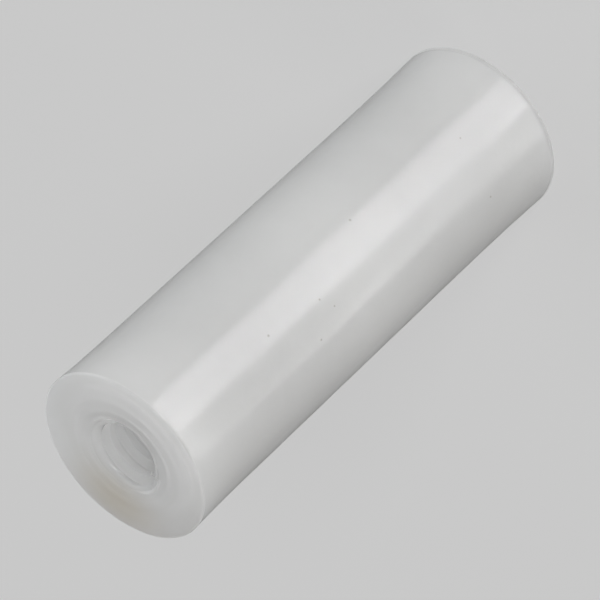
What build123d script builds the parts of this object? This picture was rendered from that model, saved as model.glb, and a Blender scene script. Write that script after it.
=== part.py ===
# Round threaded standoff in natural nylon, 1/4 in across and 3/4 in long, tapped No. 4-40 at both ends.
# Millimetres. It stands on its lower end: +Z runs up its axis, from the centre of the lower end face.
from build123d import *
from math import radians, tan
import os

# Body: a straight waist that flares a little towards the rim of each end
length = 19.05
waist_diameter = 6.29
upper_rim_diameter = 6.40
lower_rim_diameter = 6.44
upper_flare_height = 2.8
lower_flare_height = 6.0
rim_edge_radius = 0.04

# Tapped bore, the same at each end: countersunk mouth, tap-drilled wall and the drill's conical point.
# The thread itself is cut into the wall, and is left out here.
tap_drill_diameter = 2.26
drill_depth = 7.92
drill_point_angle = 118
mouth_diameter = 2.89
mouth_angle = 120

waist_radius = waist_diameter / 2
tap_drill_radius = tap_drill_diameter / 2
drill_point_height = tap_drill_radius / tan(radians(drill_point_angle / 2))


def flare(rim_radius, rim_z, waist_z):
    """Half outline of one flare: level with the waist at first, and steepest at the rim."""
    pull = (waist_z - rim_z) / 3
    Bezier(
        (rim_radius, rim_z),
        (waist_radius, rim_z + pull),
        (waist_radius, waist_z - pull),
        (waist_radius, waist_z),
    )


with BuildPart() as standoff:
    # Body of revolution, from its half outline
    with BuildSketch(Plane.XZ):
        with BuildLine():
            Line((0, 0), (lower_rim_diameter / 2, 0))
            flare(lower_rim_diameter / 2, 0, lower_flare_height)
            Line((waist_radius, lower_flare_height), (waist_radius, length - upper_flare_height))
            flare(upper_rim_diameter / 2, length, length - upper_flare_height)
            Line((upper_rim_diameter / 2, length), (0, length))
            Line((0, length), (0, 0))
        make_face()
    revolve(axis=Axis.Z)
    end_faces = standoff.faces().filter_by(Plane.XY)
    fillet(end_faces.edges(), rim_edge_radius)

    # Blind tapped bore in each end face
    mouths = [Plane(face) for face in standoff.faces().filter_by(Plane.XY)]
    with Locations(*mouths):
        CounterSinkHole(tap_drill_diameter / 2, mouth_diameter / 2, drill_depth, mouth_angle)
    with Locations(*[mouth.offset(-drill_depth - drill_point_height) for mouth in mouths]):
        Cone(
            bottom_radius=0,
            top_radius=tap_drill_radius,
            height=drill_point_height,
            align=(Align.CENTER, Align.CENTER, Align.MIN),
            mode=Mode.SUBTRACT,
        )

os.makedirs("parts", exist_ok=True)
standoff.part.label = "standoff"
export_step(standoff.part, "parts/standoff.step")
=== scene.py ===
# Looks of a round threaded standoff in natural nylon, standing on its lower end.
# Sizes are in millimetres unless a comment says otherwise, in the frame of the solid.
from math import atan2, cos, hypot, pi, radians, sin, tan

import bpy
from mathutils import Matrix, Vector, noise


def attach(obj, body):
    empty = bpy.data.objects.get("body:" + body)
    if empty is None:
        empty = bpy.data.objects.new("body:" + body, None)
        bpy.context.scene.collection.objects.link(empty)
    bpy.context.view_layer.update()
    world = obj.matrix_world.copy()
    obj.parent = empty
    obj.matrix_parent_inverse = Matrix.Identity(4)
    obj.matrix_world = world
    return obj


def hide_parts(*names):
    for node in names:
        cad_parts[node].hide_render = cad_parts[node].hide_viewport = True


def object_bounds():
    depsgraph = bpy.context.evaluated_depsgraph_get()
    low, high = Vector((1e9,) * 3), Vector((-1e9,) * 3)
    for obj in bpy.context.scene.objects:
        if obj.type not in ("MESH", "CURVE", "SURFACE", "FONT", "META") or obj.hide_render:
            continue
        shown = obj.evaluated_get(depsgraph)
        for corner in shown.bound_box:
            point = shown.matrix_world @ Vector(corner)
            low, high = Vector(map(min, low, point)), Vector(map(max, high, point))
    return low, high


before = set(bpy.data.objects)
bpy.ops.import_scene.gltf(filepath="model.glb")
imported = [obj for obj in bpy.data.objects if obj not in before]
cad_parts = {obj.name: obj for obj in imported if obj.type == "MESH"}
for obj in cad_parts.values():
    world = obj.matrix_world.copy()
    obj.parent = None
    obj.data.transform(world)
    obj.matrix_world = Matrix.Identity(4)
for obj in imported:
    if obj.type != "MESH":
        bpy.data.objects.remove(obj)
solid_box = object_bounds()
MM = 0.001

# Body: a straight waist that flares a little towards each rim
LENGTH = (solid_box[1].z - solid_box[0].z) / MM
WAIST_RADIUS = 3.145
UPPER_RIM_RADIUS = 3.20
LOWER_RIM_RADIUS = 3.22
UPPER_FLARE_HEIGHT = 2.8
LOWER_FLARE_HEIGHT = 6.0
RIM_EDGE_RADIUS = 0.06
FLARE_CROWDING = 1.6
FIRST_RING_GAP = 1.2

# Cut-off line just inside the lower rim
CUT_LINE_START = 0.09
CUT_LINE_END = 0.19
CUT_LINE_DEPTH = 0.016

# Faced ends: (radius, depth below the rim) of the shallow rings that the tool left
UPPER_FACE_RINGS = ((2.62, 0.018), (2.38, 0.013), (2.12, 0.038), (1.90, 0.024), (1.68, 0.055), (1.52, 0.044))
LOWER_FACE_RINGS = ((2.4, 0.015), (1.9, 0.040), (1.6, 0.030))
FACE_DEPTH_AT_MOUTH = 0.05

# Tapped bores
TAP_DRILL_RADIUS = 1.13
MOUTH_RADIUS = 1.44
MOUTH_DEPTH = 0.22
DRILL_DEPTH = 7.92
DRILL_POINT_ANGLE = radians(118)
THREAD_MAJOR_RADIUS = 1.4225
THREAD_PITCH = 0.635
THREAD_DEPTH = 6.35
THREAD_LEAD = 1.2
THREAD_CREST = THREAD_PITCH / 8
THREAD_FLANK_ANGLE = radians(30)
THREAD_ROOT_OVERLAP = THREAD_PITCH / 10
FADED_THREAD_RELIEF = 0.01

# Upper mouth: the first thread comes up through the face, and leaves a thin lip that ends in a torn burr.
# Tufts are (radius, angle in degrees, size), and grains are waves to the millimetre.
LIP_START_ANGLE = radians(-57.8)
LIP_END_ANGLE = radians(-157.8)
LIP_FILL_SHARE = 0.3
BEAD_WIDTH = 0.06
BEAD_HEIGHT = 0.045
BEAD_LEAD_ANGLE = radians(75)
BEAD_FADE_START = 0.4
BURR_TUFTS = ((1.16, -157, 0.11), (1.28, -161, 0.09), (1.39, -166, 0.06))
BURR_FLATNESS = 0.6
BURR_SINK = 0.7
BURR_GRAIN = 12
BURR_ROUGHNESS = 0.25
BURR_CLEARANCE = 0.004
BURR_SEED = 1
TORN_ANGLE = radians(75)
TORN_ROUGHNESS = 0.02
TORN_GRAIN = 9
SHAPED_DEPTH = 1

SEGMENTS = 192
SHARP_ANGLE = radians(28)

# Finish: painted light, paler round the bore towards -Y, and painted shade, darker and warmer, on the upper
# face at +Y
NYLON_COLOUR = (0.82, 0.82, 0.81, 1)
NYLON_PALE = (0.84, 0.84, 0.83, 1)
PAINTED_BORE_LIGHT_COLOUR = (0.99, 0.99, 0.985, 1)
PAINTED_BORE_LIGHT_CENTRE = (0, -0.9, 0)
PAINTED_BORE_LIGHT_REACH = (1.9, 3.0)
PAINTED_BORE_LIGHT_EDGE = (2.6, 3.0)
FAR_FACE_SHADE_COLOUR = (0.62, 0.575, 0.505, 1)
FAR_FACE_SHADE_PLACE = (-1.0, 2.75, LENGTH)
FAR_FACE_SHADE_REACH = (0.2, 3.0)
PIT_COLOUR = (0.60, 0.58, 0.54, 1)
NYLON_IOR = 1.53
MILKY_DEPTH = 5
SIDE_ROUGHNESS = 0.13
FACE_ROUGHNESS = 0.28
ROUGHNESS_SPREAD = 0.03
CLOUD_SIZE = 2.5
CLOUD_SPREAD = 0.6
ROUGH_PATCH_SIZE = 0.625
MOTTLE_SIZE = 0.4
MOTTLE_HEIGHT = 0.0012
LINE_SIZE = 0.25
LINE_SHARE = 0.03
LINE_HEIGHT = 0.0006
RING_SIZE = 0.12
RING_HEIGHT = 0.0012
END_REACH = (0.05, 0.15)
PIT_DEPTH = 0.01

# Pits in the side: (height above the lower end, angle about the axis in degrees, radius)
PITS = (
    (14.02, -96, 0.07),
    (11.62, -101, 0.06),
    (8.63, -79, 0.07),
    (12.38, -120, 0.06),
    (11.28, -110, 0.05),
    (3.39, -129, 0.06),
    (3.18, -88, 0.05),
)

# Studio, in metres: grey levels, and softboxes as
# (name, azimuth, elevation, distance, width, height, radiance, colour)
FLOOR_SIZE = 4
FLOOR_BOUNCE = 0.45
FLOOR_GLOW = 0.8
FLOOR_GLOW_SHARE = 0.6
WORLD_LEVEL = 0.6
COOL = (0.97, 0.99, 1.0)
WARM = (1.0, 0.985, 0.96)
WHITE = (1, 1, 1)
SOFTBOXES = (
    ("front", 0, 42, 0.3, 0.1, 0.1, 11.6, WHITE),
    ("front_low", 0, -45, 0.3, 0.2, 0.2, 2.6, WHITE),
    ("side_right", 90, 8, 0.3, 0.2, 0.2, 2.3, COOL),
    ("side_left", -80, 36, 0.3, 0.15, 0.15, 2.0, WARM),
    ("back_right", 135, 35, 0.3, 0.2, 0.2, 1.3, COOL),
    ("back_left", -135, 35, 0.3, 0.2, 0.2, 0.9, WARM),
    ("back_low", 180, 5, 0.3, 0.3, 0.2, 1.0, WHITE),
    ("under", 0, -80, 0.3, 0.2, 0.2, 0.5, COOL),
    ("highlight", -38, -36.8, 0.6, 0.5, 0.026, 3.0, WHITE),
    ("rim_highlight", -38, -43, 0.6, 0.33, 0.016, 3.4, WHITE),
)

# Camera: the photograph's frame, and the upper face's centre in it
FRAME_PIXELS = 600
FOCAL_PIXELS = 4678
SENSOR_WIDTH = 36
UPPER_FACE_PIXEL = (123.5, 456.75)
UPPER_FACE_DISTANCE = 46.75 * WAIST_RADIUS * MM
CAMERA_ELEVATION = radians(34.33)
CAMERA_ROLL = radians(-133.03)


def to_edit(piece):
    """Opens one piece in edit mode with nothing selected."""
    bpy.ops.object.select_all(action="DESELECT")
    bpy.context.view_layer.objects.active = piece
    piece.select_set(True)
    bpy.ops.object.mode_set(mode="EDIT")
    bpy.ops.mesh.select_mode(type="VERT")
    bpy.ops.mesh.select_all(action="DESELECT")


def to_object():
    bpy.ops.object.mode_set(mode="OBJECT")


def add_primitive(name, adder, **settings):
    """Adds a primitive with nothing else selected, and names it."""
    bpy.ops.object.select_all(action="DESELECT")
    adder(**settings)
    piece = bpy.context.active_object
    piece.name = name
    return piece


def place_mesh(piece):
    """Leaves the piece's object at the origin, with its place in its mesh."""
    bpy.ops.object.select_all(action="DESELECT")
    bpy.context.view_layer.objects.active = piece
    piece.select_set(True)
    bpy.ops.object.transform_apply(location=True, rotation=True, scale=True)


def flare_radius(rim_radius, flare_height, depth):
    """Radius of the body at this depth below a rim: steepest at the rim, and level at the flare's foot."""
    rise = max(0, 1 - depth / flare_height)
    return WAIST_RADIUS + (rim_radius - WAIST_RADIUS) * rise**3


def rim_edge(rim_radius, flare_height, steps=4):
    """(radius, depth) round the small edge between an end face and the body."""
    turns = [pi / 2 * step / steps for step in range(steps + 1)]
    centre = flare_radius(rim_radius, flare_height, RIM_EDGE_RADIUS) - RIM_EDGE_RADIUS
    return [(centre + RIM_EDGE_RADIUS * sin(t), RIM_EDGE_RADIUS * (1 - cos(t))) for t in turns]


def end_face(marks, rim_radius, steps=4):
    """(radius, depth) from the mouth to the rim, eased from each ring of the face to the next."""
    stations = [(MOUTH_RADIUS, FACE_DEPTH_AT_MOUTH)]
    stations += marks[::-1]
    stations += [(rim_radius - 2 * RIM_EDGE_RADIUS, 0)]
    points = []
    for (inner, inner_depth), (outer, outer_depth) in zip(stations, stations[1:]):
        for step in range(steps):
            share = step / steps
            eased = (1 - cos(pi * share)) / 2
            depth = inner_depth + (outer_depth - inner_depth) * eased
            points.append((inner + (outer - inner) * share, depth))
    return points + [stations[-1]]


def mouth_sink(steps=14):
    """(radius, depth) up the rounded countersink, from the bore to the face."""
    turns = [pi / 2 * step / steps for step in range(steps)]
    width = MOUTH_RADIUS - TAP_DRILL_RADIUS
    return [(MOUTH_RADIUS - width * cos(t), FACE_DEPTH_AT_MOUTH + MOUTH_DEPTH * (1 - sin(t))) for t in turns]


def body_side(rim_radius, flare_height, cut_line, steps=14):
    """(radius, depth) from the rim edge down the flare to the waist, closer together near the rim.
    It has a cut-off line where the end has one."""
    stations = [flare_height * (step / steps) ** FLARE_CROWDING for step in range(steps + 1)]
    edge = CUT_LINE_END if cut_line else RIM_EDGE_RADIUS
    depths = [depth for depth in stations if depth > edge * FIRST_RING_GAP]
    side = [(flare_radius(rim_radius, flare_height, depth), depth) for depth in depths]
    if not cut_line:
        return side
    middle = (CUT_LINE_START + CUT_LINE_END) / 2
    line = [
        (flare_radius(rim_radius, flare_height, CUT_LINE_START), CUT_LINE_START),
        (flare_radius(rim_radius, flare_height, middle) - CUT_LINE_DEPTH, middle),
        (flare_radius(rim_radius, flare_height, CUT_LINE_END), CUT_LINE_END),
    ]
    return line + side


def end_outline(rim_radius, flare_height, marks, cut_line):
    """(radius, depth) from the drill point's foot, out of the bore and over the rim to the waist."""
    outline = [(TAP_DRILL_RADIUS, DRILL_DEPTH)]
    outline += mouth_sink()
    outline += end_face(marks, rim_radius)
    outline += rim_edge(rim_radius, flare_height)
    return outline + body_side(rim_radius, flare_height, cut_line)


def turned_body():
    """Body of revolution with its two drilled, countersunk bores, ring by ring between the drill points."""
    upper_end = end_outline(UPPER_RIM_RADIUS, UPPER_FLARE_HEIGHT, UPPER_FACE_RINGS, False)
    lower_end = end_outline(LOWER_RIM_RADIUS, LOWER_FLARE_HEIGHT, LOWER_FACE_RINGS, True)
    outline = [(radius, LENGTH - depth) for radius, depth in upper_end] + lower_end[::-1]
    point_height = TAP_DRILL_RADIUS / tan(DRILL_POINT_ANGLE / 2)
    body = add_primitive(
        "standoff_body",
        bpy.ops.mesh.primitive_circle_add,
        vertices=SEGMENTS,
        radius=outline[0][0] * MM,
        fill_type="TRIFAN",
        location=(0, 0, outline[0][1] * MM),
    )
    place_mesh(body)
    to_edit(body)
    to_object()
    for vertex in body.data.vertices:
        on_axis = hypot(vertex.co.x, vertex.co.y) < TAP_DRILL_RADIUS / 2 * MM
        vertex.select = not on_axis
        if on_axis:
            vertex.co.z -= point_height * MM
    bpy.ops.object.mode_set(mode="EDIT")
    for (old_radius, old_height), (radius, height) in zip(outline, outline[1:]):
        bpy.ops.mesh.extrude_region_move(TRANSFORM_OT_translate={"value": (0, 0, (height - old_height) * MM)})
        ratio = radius / old_radius
        bpy.ops.transform.resize(value=(ratio, ratio, 1), center_override=(0, 0, height * MM))
    bpy.ops.mesh.extrude_region_move(TRANSFORM_OT_translate={"value": (0, 0, point_height * MM)})
    bpy.ops.mesh.merge(type="CENTER")
    bpy.ops.mesh.select_all(action="SELECT")
    bpy.ops.mesh.normals_make_consistent(inside=False)
    to_object()
    return body


def smooth_step(low, high, value):
    share = min(1, max(0, (value - low) / (high - low)))
    return share * share * (3 - 2 * share)


def lip_radius(turn):
    """Radius at which the thread's first groove meets the face, this many turns past the lip's start."""
    buried = max(0, turn * THREAD_PITCH - THREAD_CREST / 2)
    return THREAD_MAJOR_RADIUS - buried / tan(THREAD_FLANK_ANGLE)


def shape_upper_mouth(body):
    """Fills the countersink along the thread's lip, raises the bead that the tap pushed up round the mouth,
    and roughens the countersink where the lip is torn away."""
    lip_angle = LIP_START_ANGLE - LIP_END_ANGLE
    for vertex in body.data.vertices:
        radius = hypot(vertex.co.x, vertex.co.y) / MM
        depth = LENGTH - vertex.co.z / MM
        outside_bore = radius > TAP_DRILL_RADIUS * 1.001
        at_mouth = outside_bore and radius < MOUTH_RADIUS + 3 * BEAD_WIDTH and depth <= SHAPED_DEPTH
        if not at_mouth:
            continue
        angle = atan2(vertex.co.y, vertex.co.x)
        past_start = (LIP_START_ANGLE - angle) % (2 * pi)
        before_start = 2 * pi - past_start
        past_end = past_start - lip_angle
        on_lip = past_start < lip_angle
        if on_lip and radius < MOUTH_RADIUS:
            fill_angle = lip_angle * LIP_FILL_SHARE
            fill = 1 - smooth_step(0, fill_angle, fill_angle - past_start)
            depth += (FACE_DEPTH_AT_MOUTH - depth) * fill
        elif 0 <= past_end < TORN_ANGLE and radius < MOUTH_RADIUS:
            grain = noise.noise(vertex.co / MM * TORN_GRAIN)
            depth -= grain * TORN_ROUGHNESS * (1 - past_end / TORN_ANGLE)
        if on_lip:
            edge = lip_radius(past_start / (2 * pi))
            height = BEAD_HEIGHT
        elif 0 <= past_end < TORN_ANGLE:
            edge = MOUTH_RADIUS - BEAD_WIDTH
            height = BEAD_HEIGHT * (1 - smooth_step(BEAD_FADE_START, 1, past_end / TORN_ANGLE))
        else:
            edge = THREAD_MAJOR_RADIUS
            height = BEAD_HEIGHT * (1 - smooth_step(BEAD_FADE_START, 1, before_start / BEAD_LEAD_ANGLE))
        off_crest = abs(radius - edge - BEAD_WIDTH) / BEAD_WIDTH
        depth -= height * (1 - smooth_step(0, 1, off_crest))
        vertex.co.z = (LENGTH - max(0, depth)) * MM


def join_solid(piece, addition, operation):
    """Cuts one solid out of another, or makes the two one, and clears the second away."""
    change = piece.modifiers.new("change", "BOOLEAN")
    change.operation = operation
    change.solver = "EXACT"
    change.object = addition
    bpy.ops.object.select_all(action="DESELECT")
    bpy.context.view_layer.objects.active = piece
    piece.select_set(True)
    bpy.ops.object.modifier_apply(modifier=change.name)
    bpy.data.objects.remove(addition)


def add_burr(body):
    """Small rough tufts at the torn end of the lip, which stay below the rim."""
    noise.seed_set(BURR_SEED)
    face_height = LENGTH - FACE_DEPTH_AT_MOUTH
    for number, (radius, angle, size) in enumerate(BURR_TUFTS):
        x, y = radius * cos(radians(angle)), radius * sin(radians(angle))
        tuft = add_primitive(
            f"tuft_{number}",
            bpy.ops.mesh.primitive_ico_sphere_add,
            subdivisions=3,
            radius=size * MM,
            location=(x * MM, y * MM, (face_height - size * BURR_FLATNESS * BURR_SINK) * MM),
            scale=(1, 1, BURR_FLATNESS),
        )
        place_mesh(tuft)
        for vertex in tuft.data.vertices:
            vertex.co += noise.noise_vector(vertex.co / MM * BURR_GRAIN) * size * BURR_ROUGHNESS * MM
            vertex.co.z = min(vertex.co.z, (LENGTH - BURR_CLEARANCE) * MM)
        join_solid(body, tuft, "UNION")


def thread_ridge(name):
    """The coil of plastic that the tap takes out below the plane z = 0: a ridge on a right-hand helix.
    It starts half a pitch above the plane, and fades out over the tap's lead."""
    root_radius = TAP_DRILL_RADIUS - THREAD_ROOT_OVERLAP
    root = THREAD_CREST + 2 * (THREAD_MAJOR_RADIUS - root_radius) * tan(THREAD_FLANK_ANGLE)
    turns = int((THREAD_DEPTH + THREAD_PITCH / 2) / THREAD_PITCH + 1)
    ridge = add_primitive(
        name,
        bpy.ops.mesh.primitive_plane_add,
        size=1,
        rotation=(pi / 2, 0, 0),
    )
    place_mesh(ridge)
    for vertex in ridge.data.vertices:
        outer = vertex.co.x > 0
        half = (THREAD_CREST if outer else root) / 2
        vertex.co.x = (THREAD_MAJOR_RADIUS if outer else root_radius) * MM
        vertex.co.z = half * MM if vertex.co.z > 0 else -half * MM
    ridge.data.transform(Matrix.Rotation(LIP_START_ANGLE + pi, 4, "Z"))
    screw = ridge.modifiers.new("helix", "SCREW")
    screw.axis = "Z"
    screw.angle = -2 * pi
    screw.screw_offset = -THREAD_PITCH * MM
    screw.iterations = turns
    screw.steps = SEGMENTS
    screw.render_steps = SEGMENTS
    screw.use_merge_vertices = False
    bpy.ops.object.modifier_apply(modifier=screw.name)
    to_edit(ridge)
    bpy.ops.mesh.select_non_manifold()
    bpy.ops.mesh.fill_holes(sides=0)
    bpy.ops.mesh.select_all(action="SELECT")
    bpy.ops.mesh.normals_make_consistent(inside=False)
    to_object()
    ridge.data.transform(Matrix.Translation((0, 0, THREAD_PITCH / 2 * MM)))
    end_height = min(vertex.co.z for vertex in ridge.data.vertices) / MM
    for vertex in ridge.data.vertices:
        radius = hypot(vertex.co.x, vertex.co.y) / MM
        if radius > TAP_DRILL_RADIUS:
            fade = smooth_step(0, THREAD_LEAD, vertex.co.z / MM - end_height - root / 2)
            raised = (radius - root_radius - FADED_THREAD_RELIEF) * fade
            ratio = (root_radius + FADED_THREAD_RELIEF + raised) / radius
            vertex.co.x *= ratio
            vertex.co.y *= ratio
    return ridge


def tap_bores(body):
    """Cuts the thread into the upper bore, then the same thread turned over into the lower one."""
    ends = (("upper_ridge", 0, LENGTH - FACE_DEPTH_AT_MOUTH), ("lower_ridge", pi, FACE_DEPTH_AT_MOUTH))
    for name, turn, height in ends:
        ridge = thread_ridge(name)
        ridge.data.transform(Matrix.Rotation(turn, 4, "X"))
        ridge.data.transform(Matrix.Translation((0, 0, height * MM)))
        join_solid(body, ridge, "DIFFERENCE")


class Wire:
    """An output of a shader node. Sums on wires and numbers add the Math nodes that work them out."""

    def __init__(self, tree, socket=None):
        self.tree = tree
        self.socket = socket

    def add(self, kind, settings=None, inputs=None, output=0):
        """Adds a node: its settings first, then the values or links of its sockets. Gives one output."""
        node = self.tree.nodes.new(kind)
        for name, value in (settings or {}).items():
            setattr(node, name, value)
        for name, value in (inputs or {}).items():
            if isinstance(value, Wire):
                self.tree.links.new(value.socket, node.inputs[name])
            else:
                node.inputs[name].default_value = value
        return Wire(self.tree, node.outputs[output] if node.outputs else None)

    def maths(self, operation, *values):
        return self.add("ShaderNodeMath", {"operation": operation}, dict(enumerate(values)))

    def __add__(self, other):
        return self.maths("ADD", self, other)

    def __sub__(self, other):
        return self.maths("SUBTRACT", self, other)

    def __rsub__(self, other):
        return self.maths("SUBTRACT", other, self)

    def __mul__(self, other):
        return self.maths("MULTIPLY", self, other)

    __radd__ = __add__
    __rmul__ = __mul__

    def size(self):
        return self.maths("ABSOLUTE", self)

    def most(self, other):
        return self.maths("MAXIMUM", self, other)

    def rise(self, low, high):
        """An eased rise from 0 at low to 1 at high."""
        inputs = {"Value": self, "From Min": low, "From Max": high}
        return self.add("ShaderNodeMapRange", {"interpolation_type": "SMOOTHSTEP"}, inputs)

    def vector(self, operation, other, output=0):
        return self.add("ShaderNodeVectorMath", {"operation": operation}, {0: self, 1: other}, output)

    def grain(self, size, detail=2):
        """Noise from about -1 to 1 over a place in millimetres, in features about this size."""
        inputs = {"Vector": self, "Scale": 1 / size, "Detail": detail}
        return self.add("ShaderNodeTexNoise", {"normalize": False}, inputs)

    def blend(self, first, second):
        """The first colour where this wire is 0, and the second where it is 1."""
        return self.add("ShaderNodeMix", {"data_type": "RGBA"}, {0: self, 6: first, 7: second}, output=2)


def new_material(name):
    """An empty material, and the wire that its nodes are added from."""
    material = bpy.data.materials.new(name)
    material.use_nodes = True
    material.node_tree.nodes.clear()
    return material, Wire(material.node_tree)


def on_side(height, angle, radius=WAIST_RADIUS):
    """Place on the side, in millimetres, at this height and this angle about the axis in degrees."""
    return (radius * cos(radians(angle)), radius * sin(radians(angle)), height)


def pit_mask(place):
    """1 in the middle of each pit, and 0 away from them."""
    mask = None
    for height, angle, radius in PITS:
        near = 1 - place.vector("DISTANCE", on_side(height, angle), "Value").rise(0, radius)
        mask = mask.most(near) if mask else near
    return mask


def milky_nylon():
    """Natural nylon: milky right through, satin on its side, and finely ringed on its faced ends."""
    material, start = new_material("milky_nylon")
    place = start.add("ShaderNodeTexCoord", output="Object").vector("MULTIPLY", (1 / MM,) * 3)
    height = start.add("ShaderNodeSeparateXYZ", inputs={0: place}, output="Z")
    radius = place.vector("MULTIPLY", (1, 1, 0)).vector("LENGTH", (0, 0, 0), "Value")
    to_end = LENGTH / 2 - (height - LENGTH / 2).size()
    near_end = 1 - to_end.rise(*END_REACH)
    faced = near_end * radius.rise(TAP_DRILL_RADIUS, MOUTH_RADIUS)
    pits = pit_mask(place)

    mottle = place.grain(MOTTLE_SIZE, 3) * MOTTLE_HEIGHT
    lines = place.vector("MULTIPLY", (1, 1, LINE_SHARE)).grain(LINE_SIZE) * LINE_HEIGHT
    ring_place = start.add("ShaderNodeCombineXYZ", inputs={"X": radius})
    rings = ring_place.grain(RING_SIZE, 3) * RING_HEIGHT * faced
    relief = mottle + lines * (1 - faced) + rings - pits * PIT_DEPTH
    bump = start.add("ShaderNodeBump", inputs={"Height": relief, "Strength": 1.0, "Distance": MM})

    cloud = place.grain(CLOUD_SIZE).rise(-CLOUD_SPREAD, CLOUD_SPREAD)
    colour = cloud.blend(NYLON_COLOUR, NYLON_PALE)
    # Painted light: the base colour is paler round the bore and towards its -Y side, on the bore and the
    # faces
    off_centre = place.vector("MULTIPLY", (1, 1, 0)).vector("DISTANCE", PAINTED_BORE_LIGHT_CENTRE, "Value")
    bore_light = (1 - off_centre.rise(*PAINTED_BORE_LIGHT_REACH)) * (1 - radius.rise(*PAINTED_BORE_LIGHT_EDGE))
    colour = bore_light.blend(colour, PAINTED_BORE_LIGHT_COLOUR)
    # Painted shade: the base colour is darker and warmer over the +Y side of the upper face
    far_face_shade = near_end * (1 - place.vector("DISTANCE", FAR_FACE_SHADE_PLACE, "Value").rise(*FAR_FACE_SHADE_REACH))
    colour = far_face_shade.blend(colour, FAR_FACE_SHADE_COLOUR)
    colour = pits.blend(colour, PIT_COLOUR)

    rough = SIDE_ROUGHNESS + place.grain(ROUGH_PATCH_SIZE).rise(-1, 1) * ROUGHNESS_SPREAD
    rough = rough + faced * (FACE_ROUGHNESS - SIDE_ROUGHNESS)
    shader = start.add(
        "ShaderNodeBsdfPrincipled",
        inputs={
            "Base Color": colour,
            "Roughness": rough,
            "Normal": bump,
            "IOR": NYLON_IOR,
            "Subsurface Weight": 1.0,
            "Subsurface Radius": (1.0, 1.0, 1.0),
            "Subsurface Scale": MILKY_DEPTH * MM,
        },
    )
    start.add("ShaderNodeOutputMaterial", inputs={"Surface": shader})
    return material


def seen_directly(start):
    """1 on what the camera sees directly or through glass, and 0 on what only lights the object."""
    seen = start.add("ShaderNodeLightPath", output="Is Camera Ray")
    return seen.most(start.add("ShaderNodeLightPath", output="Is Transmission Ray"))


def pale_floor():
    material, start = new_material("pale_floor")
    matt = start.add("ShaderNodeBsdfDiffuse", inputs={"Color": (FLOOR_BOUNCE,) * 3 + (1,)})
    glow = start.add("ShaderNodeEmission", inputs={"Strength": FLOOR_GLOW})
    seen = seen_directly(start)
    shader = start.add("ShaderNodeMixShader", inputs={0: seen * FLOOR_GLOW_SHARE, 1: matt, 2: glow})
    start.add("ShaderNodeOutputMaterial", inputs={"Surface": shader})
    return material


def add_floor():
    floor = add_primitive("floor", bpy.ops.mesh.primitive_plane_add, size=FLOOR_SIZE)
    floor.data.materials.append(pale_floor())
    floor.visible_shadow = False


def add_camera():
    data = bpy.data.cameras.new("camera")
    camera = bpy.data.objects.new("camera", data)
    bpy.context.scene.collection.objects.link(camera)
    bpy.context.scene.camera = camera
    data.sensor_width = SENSOR_WIDTH
    data.lens = SENSOR_WIDTH * FOCAL_PIXELS / FRAME_PIXELS
    turn = Matrix.Rotation(pi / 2 - CAMERA_ELEVATION, 4, "X") @ Matrix.Rotation(CAMERA_ROLL, 4, "Z")
    scale = UPPER_FACE_DISTANCE / FOCAL_PIXELS
    right = (UPPER_FACE_PIXEL[0] - FRAME_PIXELS / 2) * scale
    up = (FRAME_PIXELS / 2 - UPPER_FACE_PIXEL[1]) * scale
    upper_face = Vector((0, 0, LENGTH * MM))
    place = upper_face - turn @ Vector((right, up, -UPPER_FACE_DISTANCE))
    camera.matrix_world = Matrix.Translation(place) @ turn
    data.clip_start = 0.01
    data.clip_end = 10


def add_softbox(name, azimuth, elevation, distance, width, height, radiance, colour):
    """A soft rectangular lamp that faces the middle of the standoff, at this azimuth and elevation from it.
    One below the floor shines through it."""
    data = bpy.data.lights.new(name, "AREA")
    data.shape = "RECTANGLE"
    data.size = width
    data.size_y = height
    data.color = colour
    data.energy = radiance * pi * width * height
    lamp = bpy.data.objects.new(name, data)
    bpy.context.scene.collection.objects.link(lamp)
    a, e = radians(azimuth), radians(elevation)
    out = Vector((sin(a) * cos(e), -cos(a) * cos(e), sin(e)))
    lamp.location = Vector((0, 0, LENGTH / 2 * MM)) + out * distance
    lamp.rotation_mode = "QUATERNION"
    lamp.rotation_quaternion = out.to_track_quat("Z", "Y")
    lamp.visible_camera = False
    data.cycles.use_multiple_importance_sampling = elevation > 0
    return lamp


def add_world():
    world = bpy.data.worlds.new("studio")
    bpy.context.scene.world = world
    world.use_nodes = True
    world.node_tree.nodes.clear()
    start = Wire(world.node_tree)
    glow = start.add("ShaderNodeBackground", inputs={"Strength": seen_directly(start) * WORLD_LEVEL})
    start.add("ShaderNodeOutputWorld", inputs={"Surface": glow})


def finish_surface(piece, material):
    piece.data.materials.clear()
    piece.data.materials.append(material)
    bpy.ops.object.select_all(action="DESELECT")
    bpy.context.view_layer.objects.active = piece
    piece.select_set(True)
    bpy.ops.object.shade_smooth_by_angle(angle=SHARP_ANGLE)


body = turned_body()
shape_upper_mouth(body)
add_burr(body)
tap_bores(body)
finish_surface(body, milky_nylon())
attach(body, "root")
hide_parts("standoff")

add_floor()
add_camera()
add_world()
for softbox in SOFTBOXES:
    add_softbox(*softbox)
bpy.context.scene.view_settings.view_transform = "Standard"
